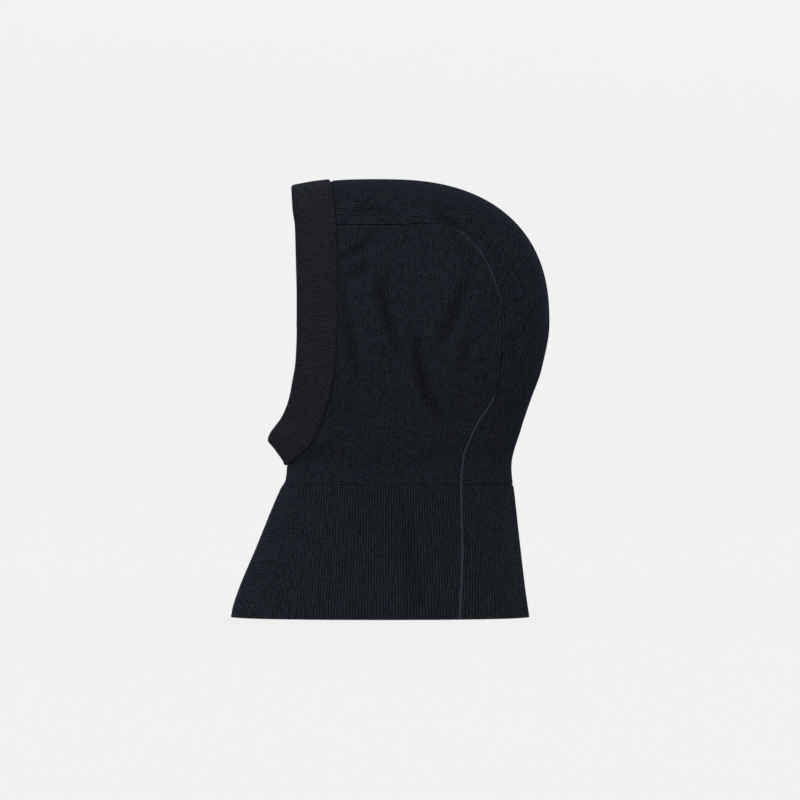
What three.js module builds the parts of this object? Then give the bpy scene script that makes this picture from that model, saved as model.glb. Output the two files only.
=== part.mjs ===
// A fine-knit wool balaclava, opened out to the shape it takes on a head. Millimetres, +Z up, the face
// towards -Y, the wearer's left at +X, and the origin on the surface it stands on, under the middle of its
// outline.
//
// It is sewn from three jersey pieces (a left side, a right side and one strip that runs over the crown and
// down the back), each with a ribbed neck piece below it, and a doubled rib band round the face. Every sewn
// line is a seam of its own: a flat strip of overlocked edges that lies inside the knit.
import * as THREE from "three";

// -------------------------------------------------------------------------------------- driving dimensions
const HEIGHT = 350; // hem to crown
const NECK_LINE = 106; // height of the seam between the hood and the neck ribs
const KNIT = 1.4; // thickness of one layer of knit
const GAP = 0.4; // clearance left between the edges of two sewn pieces
const SLOT_GAP = 0.9; // clearance each side of the hood's edge inside the doubled band
const SEAM_WIDTH = 5;
const SEAM_THICK = 1.2;
const SEAM_DEPTH = KNIT + 0.9; // how far below the outer surface a seam starts
const BAND_WIDTH = 33; // typical width of the folded band in the side view
const ALLOWANCE = 0.16; // share of the band's width by which the hood reaches into it
const SEAM_REACH = 39; // typical distance in the side view from a panel seam to the back or crown outline

// The widest level of the head, where every outline of the hood is widest.
const EAR = { y: -5, z: 235 };
const CROWN = { back: 132.2, up: HEIGHT - 235, roundness: 2.4 }; // superellipse over the crown and the back
const SECTION_ROUNDNESS = 2.2; // superellipse of each cross-section
const FOREHEAD_FALL = 0.00134; // how fast the crown line falls forward of the ears, per mm

// Outlines at the centre plane and the half-width, as [height, value] pairs.
const BACK = [[0, 110.8], [22, 107.6], [54, 103.8], [94, 99.4], [120, 96.8], [150, 104.4], [174, 112.4],
  [198, 120.9], [EAR.z, EAR.y + CROWN.back], [275, 120.9]];
const FRONT = [[0, -127.2], [8, -125.6], [22, -121], [54, -107.6], [102, -87.6], [110, -83.4], [122, -82.4],
  [134.8, -89.6], [143.6, -96.6], [158, -101], [190, -107.5], [EAR.z, -113], [300, -113]];
const HALF_WIDTH = [[0, 88], [50, 71], [NECK_LINE, 56], [120, 55], [150, 60], [190, 71], [EAR.z, 76],
  [300, 76]];

// The folded front edge of the face band and the seam at its back edge, [y, z] at matching stations from the
// forehead to the chin. The first station lies on the crown line and the last on the front line.
const FACE_EDGE = [[-79.4, null], [-78, 326], [-75.8, 310], [-75, 286], [-74.2, 254], [-74.2, 230],
  [-75, 206], [-77.4, 190], [-80.6, 174], [-87.6, 158], [null, 143.6]];
const BAND_SEAM = [[-48, null], [-45, 333], [-43, 312], [-42.2, 284], [-42, 251], [-42.3, 226], [-43.8, 201],
  [-46.5, 182], [-52, 163], [-63, 138], [null, 121]];
const BAND_CORNER = 2; // the station where the side panel and the crown panel meet under the band

// The seam between a side panel and the crown panel, and where the centre line is across from each station.
const PANEL_SEAM = [[-48, 312], [-24.4, 311.8], [7.6, 312.4], [30, 313.6], [46, 311.8], [61, 302],
  [73.2, 287.6], [80.4, 274], [85.2, 258], [87.6, 238], [88.4, 218], [87.6, 198], [84, 180], [77.5, 168],
  [69.5, 156], [62.8, 142], [58, 128], [56, NECK_LINE], [57, 54], [54.8, 0]];
const CENTRE_LINE = [[-53, 349], [-28, 349.5], [6, 350], [36, 346.6], [66, 338], [90, 322.7], [105, 308.6],
  [116.5, 290], [124, 266], [127.2, 240], [126, 214], [121.3, 198], [114.5, 180], [108.5, 164], [103.5, 148],
  [99.5, 136], [97.5, 124], [97.6, NECK_LINE], [103.8, 54], [110.8, 0]];
const PANEL_TURN = 5; // the station where the seam turns from the crown to the back
const PANEL_NECK = 17; // the station on the neck line
const HEM = PANEL_SEAM.length - 1; // the station at the hem
const ABOVE_NECK = 0.03; // stations that keep the crown panel's edge off the neck line
const BELOW_NECK = 0.015; // stations that keep the back rib's edge off it

// -------------------------------------------------------------------------------------------------- curves
// A smooth curve through [x, value] pairs that never overshoots them.
function smooth(pairs) {
  const x = pairs.map((p) => p[0]);
  const v = pairs.map((p) => p[1]);
  const slope = x.slice(1).map((xi, i) => (v[i + 1] - v[i]) / (xi - x[i]));
  const tangent = x.map((_, i) => {
    const a = slope[Math.max(i - 1, 0)];
    const b = slope[Math.min(i, slope.length - 1)];
    return a * b <= 0 ? 0 : (2 * a * b) / (a + b);
  });
  return (at) => {
    const i = Math.min(Math.max(x.findLastIndex((xi) => xi <= at), 0), x.length - 2);
    const width = x[i + 1] - x[i];
    const t = (at - x[i]) / width;
    if (t < 0 || t > 1) {
      const end = t < 0 ? i : i + 1;
      return v[end] + tangent[end] * (at - x[end]);
    }
    return v[i] * (1 + 2 * t) * (1 - t) ** 2 + tangent[i] * width * t * (1 - t) ** 2
      + v[i + 1] * t * t * (3 - 2 * t) + tangent[i + 1] * width * t * t * (t - 1);
  };
}

// A smooth path through points, by station number.
function path(points) {
  const a = smooth(points.map((p, i) => [i, p[0]]));
  const b = smooth(points.map((p, i) => [i, p[1]]));
  return (station) => [a(station), b(station)];
}

const mix = (a, b, t) => a + (b - a) * t;
const mixPoint = (p, q, t) => [mix(p[0], q[0], t), mix(p[1], q[1], t)];

// ------------------------------------------------------------------------------------------- the worn form
const backCurve = smooth(BACK);
const frontLine = smooth(FRONT);
const halfWidth = smooth(HALF_WIDTH);
const power = (v, n) => Math.max(v, 0) ** n;

const crownLine = (y) => HEIGHT - FOREHEAD_FALL * power(EAR.y - y, 2);

function backLine(z) {
  if (z <= EAR.z) return backCurve(z);
  const up = Math.min((z - EAR.z) / CROWN.up, 1);
  return EAR.y + CROWN.back * (1 - up ** CROWN.roundness) ** (1 / CROWN.roundness);
}

// How far a point of the side view lies towards the back or the crown (0 at the ears, 1 on the outline).
function closing(y, z) {
  if (z <= EAR.z) return power(y - EAR.y, 1) / (backCurve(z) - EAR.y);
  if (y <= EAR.y) return (z - EAR.z) / (crownLine(y) - EAR.z);
  const n = CROWN.roundness;
  return (((y - EAR.y) / CROWN.back) ** n + ((z - EAR.z) / CROWN.up) ** n) ** (1 / n);
}

// How far it lies towards the front.
const fronting = (y, z) => power(EAR.y - y, 1) / (EAR.y - frontLine(z));

function openness(y, z) {
  const n = SECTION_ROUNDNESS;
  return (1 - fronting(y, z) ** n) * (1 - closing(y, z) ** n);
}

// The outer surface's distance from the centre plane at a point of the side view.
const reach = (y, z) => halfWidth(z) * power(openness(y, z), 1 / SECTION_ROUNDNESS);

// The outward normal of the form, from the gradient of its implicit equation.
function normalAt(x, y, z) {
  const step = 0.02;
  const f = (u, v, w) => (Math.abs(u) / halfWidth(w)) ** SECTION_ROUNDNESS - openness(v, w);
  return new THREE.Vector3(
    f(x + step, y, z) - f(x - step, y, z),
    f(x, y + step, z) - f(x, y - step, z),
    f(x, y, z + step) - f(x, y, z - step),
  ).normalize();
}

// A point on the left half of the form from its side view, raised by a distance along the normal.
function onForm(y, z, raised) {
  const x = reach(y, z);
  return new THREE.Vector3(x, y, z).addScaledVector(normalAt(x, y, z), raised);
}

// Section angle: -90 degrees at the front of a level section, 0 at the ears and 90 degrees at the back.
function angleOf(y, z) {
  const towards = y < EAR.y ? EAR.y - frontLine(z) : backLine(z) - EAR.y;
  return Math.asin(THREE.MathUtils.clamp((y - EAR.y) / towards, -1, 1));
}

function depthAt(angle, z) {
  const towards = angle < 0 ? EAR.y - frontLine(z) : backLine(z) - EAR.y;
  return EAR.y + towards * Math.sin(angle);
}

// ----------------------------------------------------------------------------------------- side-view lines
// The band's lines run in section angle and rise angle, so that their stations stay even over the forehead.
const RISE_SCALE = 100; // mm of height below the ears for each radian of rise
const ANGLE_SCALE = 80; // mm round the form for each radian of section angle

function bandAngles([y, z]) {
  const depth = y ?? frontLine(z);
  const height = z ?? crownLine(y);
  const share = (height - EAR.z) / (crownLine(depth) - EAR.z);
  const rise = height > EAR.z ? Math.asin(Math.min(share, 1)) : (height - EAR.z) / RISE_SCALE;
  return [angleOf(depth, height), rise];
}

// Each line crosses the centre plane squarely: its path carries on into its mirror image at both ends.
function bandPath(points) {
  const angles = points.map(bandAngles);
  const beforeForehead = [angles[1][0], Math.PI - angles[1][1]];
  const pastChin = [-Math.PI - angles.at(-2)[0], angles.at(-2)[1]];
  const line = path([beforeForehead, ...angles, pastChin]);
  return (station) => line(station + 1);
}

const faceEdge = bandPath(FACE_EDGE);
const bandSeam = bandPath(BAND_SEAM);
const CHIN = FACE_EDGE.length - 1;

// Side view of the band at a station, from its folded edge (0) to its seam (1) and beyond.
function bandPoint(station, across) {
  const [angle, rise] = mixPoint(faceEdge(station), bandSeam(station), across);
  if (rise <= 0) {
    const z = EAR.z + rise * RISE_SCALE;
    return [depthAt(Math.max(angle, -Math.PI / 2), z), z];
  }
  const y = depthAt(angle, EAR.z);
  return [y, EAR.z + (crownLine(y) - EAR.z) * Math.sin(Math.min(rise, Math.PI / 2))];
}

const panelSeam = path(PANEL_SEAM);
const centreGuide = path(CENTRE_LINE);

// Side view of the crown panel at a station, from its seam (0) to the centre line (1), evenly round the form.
function crownPoint(station, across) {
  const seam = panelSeam(station);
  const guide = centreGuide(station);
  const halvings = 40;
  let inside = 0;
  let outside = 1.5; // well past the outline, which lies close to the guide
  for (let i = 0; i < halvings; i += 1) {
    const middle = (inside + outside) / 2;
    if (closing(...mixPoint(seam, guide, middle)) < 1) inside = middle;
    else outside = middle;
  }
  const level = closing(...seam);
  const from = Math.asin(level);
  const share = (Math.sin(mix(from, Math.PI / 2, across)) - level) / (1 - level);
  return mixPoint(seam, guide, share * inside);
}

// Side view of a point beside the panel seam: a distance in front of it, or behind it where negative.
function besideSeam(station, distance) {
  return mixPoint(panelSeam(station), centreGuide(station), -distance / SEAM_REACH);
}

// -------------------------------------------------------------------------------------------------- solids
function meshFrom(name, positions, triangles, material) {
  const geometry = new THREE.BufferGeometry();
  const numbers = positions.flatMap((p) => p.toArray());
  geometry.setAttribute("position", new THREE.Float32BufferAttribute(numbers, 3));
  geometry.setIndex(triangles);
  const mesh = new THREE.Mesh(geometry, material);
  mesh.name = name;
  return mesh;
}

// A sheet of knit as a closed shell: place(u, v, raised) gives its points, and top and bottom are how far its
// two faces are raised. The faces point out where u, v and the raised direction are right-handed.
function sheet(name, place, columns, rows, top, bottom, material) {
  const positions = [];
  const triangles = [];
  const at = (i, j, side) => (side * (rows + 1) + j) * (columns + 1) + i;
  for (const raised of [top, bottom]) {
    for (let j = 0; j <= rows; j += 1) {
      for (let i = 0; i <= columns; i += 1) positions.push(place(i / columns, j / rows, raised));
    }
  }
  const quad = (a, b, c, d) => triangles.push(a, b, c, a, c, d);
  for (let j = 0; j < rows; j += 1) {
    for (let i = 0; i < columns; i += 1) {
      quad(at(i, j, 0), at(i + 1, j, 0), at(i + 1, j + 1, 0), at(i, j + 1, 0));
      quad(at(i, j, 1), at(i, j + 1, 1), at(i + 1, j + 1, 1), at(i + 1, j, 1));
    }
    quad(at(0, j, 0), at(0, j + 1, 0), at(0, j + 1, 1), at(0, j, 1));
    quad(at(columns, j, 0), at(columns, j, 1), at(columns, j + 1, 1), at(columns, j + 1, 0));
  }
  for (let i = 0; i < columns; i += 1) {
    quad(at(i, 0, 0), at(i, 0, 1), at(i + 1, 0, 1), at(i + 1, 0, 0));
    quad(at(i, rows, 0), at(i + 1, rows, 0), at(i + 1, rows, 1), at(i, rows, 1));
  }
  return meshFrom(name, positions, triangles, material);
}

// A closed ring: place(station, point) for each point of a closed section.
function ring(name, place, stations, section, material) {
  const positions = [];
  const triangles = [];
  const count = section.length;
  for (let s = 0; s < stations; s += 1) {
    for (const point of section) positions.push(place(s / stations, point));
  }
  for (let s = 0; s < stations; s += 1) {
    const next = (s + 1) % stations;
    for (let k = 0; k < count; k += 1) {
      const [a, b] = [s * count + k, s * count + ((k + 1) % count)];
      const [c, d] = [next * count + ((k + 1) % count), next * count + k];
      triangles.push(a, b, c, a, c, d);
    }
  }
  return meshFrom(name, positions, triangles, material);
}

const mirrored = (p) => new THREE.Vector3(-p.x, p.y, p.z);
const sideways = (p, shift) => new THREE.Vector3(p.x + shift, p.y, p.z);

// The right-hand copy of a left-hand piece.
function rightCopy(mesh, name) {
  const copy = mesh.clone();
  copy.name = name;
  copy.scale.x = -1;
  return copy;
}

// ----------------------------------------------------------------------------------------------- materials
const knitMaterial = (color, roughness) => new THREE.MeshStandardMaterial({ color, roughness, metalness: 0 });
const jersey = knitMaterial(0x191c22, 0.95);
const rib = knitMaterial(0x1c1f26, 0.95);
const yarn = knitMaterial(0x20242c, 0.9);

// --------------------------------------------------------------------------------------------- hood pieces
// The left side panel, a patch between the band, the crown panel and the neck line.
function leftSidePanel() {
  const seamSide = (station) => besideSeam(station, GAP);
  const bottomHeight = NECK_LINE + GAP;
  const toAngle = ([y, z]) => [angleOf(y, z), z];

  const left = [[depthAt(-Math.PI / 2, bottomHeight), bottomHeight]];
  for (let s = CHIN; s > BAND_CORNER + 0.4; s -= 0.5) left.push(bandPoint(s, 1 - ALLOWANCE));
  left.push(seamSide(0));
  const right = [];
  for (let s = PANEL_NECK; s >= PANEL_TURN; s -= 0.5) right.push(seamSide(s));
  right[0][1] = bottomHeight;
  const top = [];
  for (let s = 0; s <= PANEL_TURN; s += 1) top.push(seamSide(s));

  const evenly = (points) => {
    const corners = points.map(toAngle).map(([angle, z]) => new THREE.Vector3(angle * ANGLE_SCALE, z, 0));
    const curve = new THREE.CatmullRomCurve3(corners, false, "centripetal");
    return (share) => {
      const p = curve.getPointAt(share);
      return [p.x / ANGLE_SCALE, p.y];
    };
  };
  const [leftAt, rightAt, topAt] = [left, right, top].map(evenly);
  const bottomAt = (share) => mixPoint(leftAt(0), rightAt(0), share);

  // The four edges are blended: what the two pairs of edges give, less what their corners alone would give.
  const place = (u, v, raised) => {
    const across = mixPoint(leftAt(v), rightAt(v), u);
    const up = mixPoint(bottomAt(u), topAt(u), v);
    const corners = mixPoint(mixPoint(leftAt(0), rightAt(0), u), mixPoint(leftAt(1), rightAt(1), u), v);
    const angle = across[0] + up[0] - corners[0];
    const z = across[1] + up[1] - corners[1];
    return sideways(onForm(depthAt(angle, z), z, raised), GAP / 2);
  };
  return sheet("left_side_panel", place, 24, 26, 0, -KNIT, jersey);
}

// The strip over the crown and down the back, or its ribbed end: u runs from the right seam to the left one.
function centreStrip(name, from, to, columns, rows, material) {
  const place = (u, v, raised) => {
    const station = mix(from, to, v);
    const across = mix(GAP / SEAM_REACH, 1, 1 - Math.abs(2 * u - 1));
    const p = onForm(...crownPoint(station, across), raised);
    if (station === HEM) p.setZ(0);
    return u >= 0.5 ? p : mirrored(p);
  };
  return sheet(name, place, columns, rows, 0, -KNIT, material);
}

// The left neck rib, from the centre front round to the seam.
function leftNeckRib() {
  const place = (u, v, raised) => {
    const z = mix(NECK_LINE - GAP, 0, v);
    const station = mix(PANEL_NECK, HEM, v);
    const seamAngle = angleOf(besideSeam(station, GAP)[0], z);
    const angle = mix(-Math.PI / 2, seamAngle, 1 - u);
    const p = sideways(onForm(depthAt(angle, z), z, raised), GAP / 2);
    return station === HEM ? p.setZ(0) : p;
  };
  return sheet("left_neck_rib", place, 16, 6, 0, -KNIT, rib);
}

// The face band, one strip of rib folded double over the hood's edge, which is held between its layers.
function faceBand() {
  const slotTop = SLOT_GAP;
  const slotBottom = -KNIT - SLOT_GAP;
  const [outside, inside] = [slotTop + KNIT, slotBottom - KNIT];
  const [fold, foldDrop] = [0.03, 0.4]; // how far the fold's edge is rounded: share of the width, and mm
  const [near, far] = [1 / 3, 2 / 3];
  const slotEnd = 0.7;
  const middle = (slotTop + slotBottom) / 2;
  const section = [[1, slotTop], [1, outside], [far, outside], [near, outside], [fold, outside - foldDrop],
    [0, middle], [fold, inside + foldDrop], [near, inside], [far, inside], [1, inside], [1, slotBottom],
    [slotEnd, slotBottom], [slotEnd, slotTop]];
  return ring("face_band", aroundFace, 96, section, rib);
}

// A point round the face opening: share 0 is the forehead, a quarter the left side and a half the chin.
function aroundFace(share, [across, raised]) {
  const half = share <= 0.5 ? 2 * share : 2 - 2 * share;
  const p = onForm(...bandPoint(bandStation(half), across), raised);
  if (half === 0 || half === 1) p.x = 0;
  return share <= 0.5 ? p : mirrored(p);
}

// The band station at a share of the way from forehead to chin, measured along the middle of the band.
const bandStation = (() => {
  const steps = 400;
  const length = [0];
  let last = onForm(...bandPoint(0, 0.5), 0);
  for (let i = 1; i <= steps; i += 1) {
    const p = onForm(...bandPoint((i / steps) * CHIN, 0.5), 0);
    length.push(length[i - 1] + p.distanceTo(last));
    last = p;
  }
  return (share) => {
    const target = share * length[steps];
    const i = Math.min(Math.max(length.findIndex((l) => l >= target), 1), steps);
    return ((i - (length[i] - target) / (length[i] - length[i - 1])) / steps) * CHIN;
  };
})();

// --------------------------------------------------------------------------------------------------- seams
// A flat strip of seam under the knit: linePoint(v, offset, raised) gives its points, v along it and offset
// across it.
function seamStrip(name, linePoint, count) {
  const place = (u, v, raised) => linePoint(v, (u - 0.5) * SEAM_WIDTH, raised);
  return sheet(name, place, 1, count, -SEAM_DEPTH, -SEAM_DEPTH - SEAM_THICK, yarn);
}

function leftPanelSeam() {
  const [start, end] = [0.8, HEM - 0.03]; // clear of the band's joining seam and of the hem
  const place = (v, offset, raised) => onForm(...besideSeam(mix(start, end, v), offset), raised);
  return seamStrip("left_panel_seam", place, 52);
}

// The seam at the neck line, between two section angles.
function neckSeam(name, from, to, count) {
  const place = (v, offset, raised) => {
    const z = NECK_LINE + offset;
    const angle = mix(from, to, v);
    const p = onForm(depthAt(angle > Math.PI / 2 ? Math.PI - angle : angle, z), z, raised);
    return angle > Math.PI / 2 ? mirrored(p) : p;
  };
  return seamStrip(name, place, count);
}

// The seam down the centre of the front, from just below the band to the hem.
function frontSeam() {
  const [underBand, aboveHem] = [NECK_LINE + 8, 3];
  const clearance = 0.4;
  const place = (v, offset, raised) => {
    const z = mix(underBand, aboveHem, v);
    const y = frontLine(z);
    return new THREE.Vector3(-offset, y, z).addScaledVector(normalAt(0, y, z), raised - clearance);
  };
  return seamStrip("front_seam", place, 14);
}

// The joining seam lies inside the hood, just behind the band's inner layer.
function bandJoiningSeam() {
  const near = 1.04; // share of the band's width
  const far = near + SEAM_WIDTH / BAND_WIDTH;
  const [top, bottom] = [-SEAM_DEPTH, -SEAM_DEPTH - SEAM_THICK];
  const section = [[near, bottom], [far, bottom], [far, top], [near, top]];
  return ring("band_joining_seam", aroundFace, 64, section, yarn);
}

// The ends of the band meet in a short seam at the chin, inside the band.
function bandClosingSeam() {
  const [nearFold, nearSeam] = [0.12, 0.95]; // shares of the band's width
  const clearance = 1.1;
  const top = -2 * KNIT - SLOT_GAP - clearance;
  const place = (u, v, raised) => {
    const [y, z] = bandPoint(CHIN, mix(nearFold, nearSeam, v));
    return new THREE.Vector3((0.5 - u) * SEAM_WIDTH, y, z).addScaledVector(normalAt(0, y, z), raised);
  };
  return sheet("band_closing_seam", place, 1, 3, top, top - SEAM_THICK, yarn);
}

// ------------------------------------------------------------------------------------------------ assembly
function balaclava() {
  const side = leftSidePanel();
  const neck = leftNeckRib();
  const seam = leftPanelSeam();
  const clearance = 0.075; // section angle that keeps the neck seams clear of the seams they meet
  const panelAngle = angleOf(PANEL_SEAM[PANEL_NECK][0], NECK_LINE);
  const leftNeck = neckSeam("left_neck_seam", panelAngle - clearance, -Math.PI / 2 + clearance, 14);
  const backNeck = neckSeam("back_neck_seam", Math.PI - panelAngle - clearance, panelAngle + clearance, 12);
  const group = new THREE.Group();
  group.add(
    side, rightCopy(side, "right_side_panel"),
    centreStrip("crown_panel", 0, PANEL_NECK - ABOVE_NECK, 16, 34, jersey),
    neck, rightCopy(neck, "right_neck_rib"),
    centreStrip("back_neck_rib", PANEL_NECK + BELOW_NECK, HEM, 10, 6, rib),
    faceBand(),
    seam, rightCopy(seam, "right_panel_seam"),
    leftNeck, rightCopy(leftNeck, "right_neck_seam"), backNeck,
    frontSeam(), bandJoiningSeam(), bandClosingSeam(),
  );
  return group;
}

export default balaclava();
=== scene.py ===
import math

import bpy
import numpy as np
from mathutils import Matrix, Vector


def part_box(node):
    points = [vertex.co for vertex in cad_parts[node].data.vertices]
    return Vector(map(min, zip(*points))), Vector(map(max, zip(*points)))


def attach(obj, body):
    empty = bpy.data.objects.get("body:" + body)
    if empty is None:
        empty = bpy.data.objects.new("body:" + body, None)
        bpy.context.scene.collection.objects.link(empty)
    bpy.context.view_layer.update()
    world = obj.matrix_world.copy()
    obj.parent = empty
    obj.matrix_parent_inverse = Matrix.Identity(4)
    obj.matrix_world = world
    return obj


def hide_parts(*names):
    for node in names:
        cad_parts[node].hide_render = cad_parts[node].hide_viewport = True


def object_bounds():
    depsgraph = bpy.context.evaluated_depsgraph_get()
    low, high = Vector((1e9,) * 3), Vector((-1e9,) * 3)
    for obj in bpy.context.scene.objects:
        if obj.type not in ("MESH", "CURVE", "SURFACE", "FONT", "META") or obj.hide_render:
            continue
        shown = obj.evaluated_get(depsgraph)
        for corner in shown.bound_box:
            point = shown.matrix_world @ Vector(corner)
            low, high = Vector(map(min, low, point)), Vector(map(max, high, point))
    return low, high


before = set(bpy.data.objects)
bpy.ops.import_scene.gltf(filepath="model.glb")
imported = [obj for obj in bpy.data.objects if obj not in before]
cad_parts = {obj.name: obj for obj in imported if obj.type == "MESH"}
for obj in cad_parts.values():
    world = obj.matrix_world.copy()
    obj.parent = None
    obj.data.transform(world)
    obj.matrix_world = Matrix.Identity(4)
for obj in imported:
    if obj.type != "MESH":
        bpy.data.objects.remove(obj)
cad_low, cad_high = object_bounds()

# ---- sizes
MM = 0.001
DRAWN_HEIGHT = 350  # the height that the side view's outlines are drawn for
SIZE = round((cad_high.z - cad_low.z) / MM / DRAWN_HEIGHT, 2)  # the part's height over the drawn one
UNIT = MM * SIZE  # metres to one drawn millimetre
CAD_GAP = 0.4  # what the CAD model leaves open beside the neck line
NECK_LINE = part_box("left_neck_rib")[1].z / UNIT + CAD_GAP
KNIT = 1.4  # thickness of one layer of knit
SEWN_GAP = 0.12  # what stays open between two edges that are sewn together
SEAM_REACH = 39  # typical distance in the side view from a panel seam to the back or crown outline
SEWN_SHARE = SEWN_GAP / SEAM_REACH  # that gap as a share of the way from a panel seam to the outline
WALE = 1.9  # width of a knitted column in the jersey
COURSE = 1.3  # height of a knitted row
NECK_RIB = 2.15  # pitch of the ribs at the sides and front of the neck
BACK_RIB = 1.85  # pitch of the ribs at the back of the neck

# ---- side view
# The face looks along -y and the hem stands on z = 0.
EAR_Y, EAR_Z = -5, 235  # the middle of the ears, where the form is widest
CROWN_BACK = 132.2  # from the ears to the back of the head
CROWN_UP = DRAWN_HEIGHT - EAR_Z
CROWN_ROUNDNESS = 2.4  # power of the superellipse in the side view, 2 being an ellipse
SECTION_ROUNDNESS = 2.2  # the same for the sections across the form
FOREHEAD_FALL = 0.00134  # how fast the crown outline falls in front of the ears, per square millimetre

# By height: the back outline, the front outline and half the width at the ears.
BACK = [(0, 110.8), (22, 107.6), (54, 103.8), (94, 99.4), (120, 96.8), (150, 104.4), (174, 112.4),
        (198, 120.9), (EAR_Z, EAR_Y + CROWN_BACK), (275, 120.9)]
FRONT = [(0, -127.2), (8, -125.6), (22, -121), (54, -107.6), (102, -87.6), (110, -83.4), (122, -82.4),
         (134.8, -89.6), (143.6, -96.6), (158, -101), (190, -107.5), (EAR_Z, -113), (300, -113)]
HALF_WIDTH = [(0, 88), (50, 71), (106, 56), (120, 55), (150, 60), (190, 71), (EAR_Z, 76), (300, 76)]

# The band's folded edge and its seam, from the forehead to the chin, as (y, z). The first station lies on
# the crown line and the last on the front line, so those give one coordinate only.
FACE_EDGE = [(-79.4, None), (-78, 326), (-75.8, 310), (-75, 286), (-74.2, 254), (-74.2, 230),
             (-75, 206), (-77.4, 190), (-80.6, 174), (-87.6, 158), (None, 143.6)]
BAND_SEAM = [(-48, None), (-45, 333), (-43, 312), (-42.2, 284), (-42, 251), (-42.3, 226), (-43.8, 201),
             (-46.5, 182), (-52, 163), (-63, 138), (None, 121)]
CHIN = len(FACE_EDGE) - 1
BAND_CORNER = 2  # the station where the band meets a panel seam
# Where the band's seam meets the front outline and the crown outline, as (z, y).
SEAM_AT_CHIN = (121, -82.5)
SEAM_AT_FOREHEAD = (347.5, -48)

# The seam between a side panel and the crown panel, and a guide for each of its stations: the way to the
# centre line.
PANEL_SEAM = [(-48, 312), (-24.4, 311.8), (7.6, 312.4), (30, 313.6), (46, 311.8), (61, 302), (73.2, 287.6),
              (80.4, 274), (85.2, 258), (87.6, 238), (88.4, 218), (87.6, 198), (84, 180), (77.5, 168),
              (69.5, 156), (62.8, 142), (58, 128), (56, 106), (57, 54), (54.8, 0)]
CENTRE_LINE = [(-53, 349), (-28, 349.5), (6, 350), (36, 346.6), (66, 338), (90, 322.7), (105, 308.6),
               (116.5, 290), (124, 266), (127.2, 240), (126, 214), (121.3, 198), (114.5, 180), (108.5, 164),
               (103.5, 148), (99.5, 136), (97.5, 124), (97.6, 106), (103.8, 54), (110.8, 0)]
PANEL_TURN = 5  # the station where the seam turns down behind the crown
PANEL_NECK = 17  # the station on the neck line
HEM = len(PANEL_SEAM) - 1

# Soft folds, each as its (y, z) line, its width and its depth. A negative depth is a puff. The depth also
# paints shade into the wool's colour in the folds, and painted light on the puffs.
CHEEK_FOLDS = [
    ([(1, 286), (-8, 258), (-1, 232), (9, 204)], 5.2, 5.4),
    ([(18, 236), (23, 195), (29, 175), (46, 148)], 4.6, 5.8),
    ([(63, 274), (49, 238), (33, 208)], 6, 4.6),
    ([(62, 228), (55, 186)], 5, 3.0),
    ([(-46, 283), (-28, 292), (-9, 306)], 3.5, 3.6),
    ([(-46, 267), (-30, 273), (-11, 282)], 3.5, 3.6),
    ([(-40, 260), (-33, 226), (-25, 182)], 5, 3.4),
    ([(-58, 134), (-42, 154)], 4, -1.8),
]
CROWN_FOLDS = [
    ([(89, 194), (83, 168)], 3, 2.6),
    ([(101, 236), (93, 202)], 6, 2.4),
    ([(-32, 322), (-14, 326), (4, 320)], 4, 3.4),
    ([(-44, 320), (-36, 325)], 4, -2.4),
    ([(8, 318), (28, 321)], 4, -2.4),
    ([(36, 326), (58, 306)], 4, 3.6),
]
NECK_FOLDS = [
    ([(14, 88), (16, 50), (21, 6)], 8, 3.6),
    ([(-62, 126), (0, 124), (92, 126)], 14, 1.3),
    ([(93, 96), (100, 6)], 8, -1.6),
]
FOLD_FADE = 30  # the folds die out over this distance from the centre plane


# ---- curves
TURN = 2 * math.pi


def smooth(pairs):
    """A smooth curve through (x, value) pairs. It never overshoots them, and runs on straight past them."""
    x, v = np.array(pairs, float).T
    slope = np.diff(v) / np.diff(x)
    before = np.concatenate([slope[:1], slope])
    after = np.concatenate([slope, slope[-1:]])
    same_way = before * after > 0
    tangent = np.where(same_way, 2 * before * after / np.where(same_way, before + after, 1), 0)

    def at(q):
        q = np.asarray(q, float)
        i = np.clip(np.searchsorted(x, q, side="right") - 1, 0, len(x) - 2)
        width = x[i + 1] - x[i]
        t = (q - x[i]) / width
        inside = (v[i] * (1 + 2 * t) * (1 - t) ** 2 + tangent[i] * width * t * (1 - t) ** 2
                  + v[i + 1] * t * t * (3 - 2 * t) + tangent[i + 1] * width * t * t * (t - 1))
        before_start = v[0] + tangent[0] * (q - x[0])
        past_end = v[-1] + tangent[-1] * (q - x[-1])
        return np.where(t < 0, before_start, np.where(t > 1, past_end, inside))

    return at


def path(points):
    """A smooth path through points, by station number."""
    first = smooth([(i, p[0]) for i, p in enumerate(points)])
    second = smooth([(i, p[1]) for i, p in enumerate(points)])
    return lambda station: (first(station), second(station))


def mix(a, b, t):
    return a + (b - a) * t


def mix_point(p, q, t):
    return mix(p[0], q[0], t), mix(p[1], q[1], t)


def angles_round(count):
    return np.linspace(0, TURN, count, endpoint=False)


def blunt_cosine(angle, power):
    """A cosine with blunted crests, the more so the lower its power is."""
    wave = np.cos(angle)
    return np.sign(wave) * np.abs(wave) ** power


def bump(distance, width):
    """A soft rounded ridge, 1 at its middle."""
    return np.exp(-((distance / width) ** 2))


# ---- the worn form
back_curve = smooth(BACK)
front_line = smooth(FRONT)
half_width = smooth(HALF_WIDTH)
seam_upwards = [(z, y) for y, z in BAND_SEAM[-2:0:-1]]
band_line = smooth([SEAM_AT_CHIN, *seam_upwards, SEAM_AT_FOREHEAD])
# How far the jersey stands up behind the band's seam, by height. It rises at once and settles slowly.
puff_height = smooth([(0, 0), (119, 0), (140, 1.5), (165, 1.5),
                      (230, 0.9), (290, 0.9), (330, 1.8), (350, 1.1)])
PUFF_START = 1.4
PUFF_REACH = 28


def crown_line(y):
    return DRAWN_HEIGHT - FOREHEAD_FALL * np.maximum(EAR_Y - y, 0) ** 2


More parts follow.
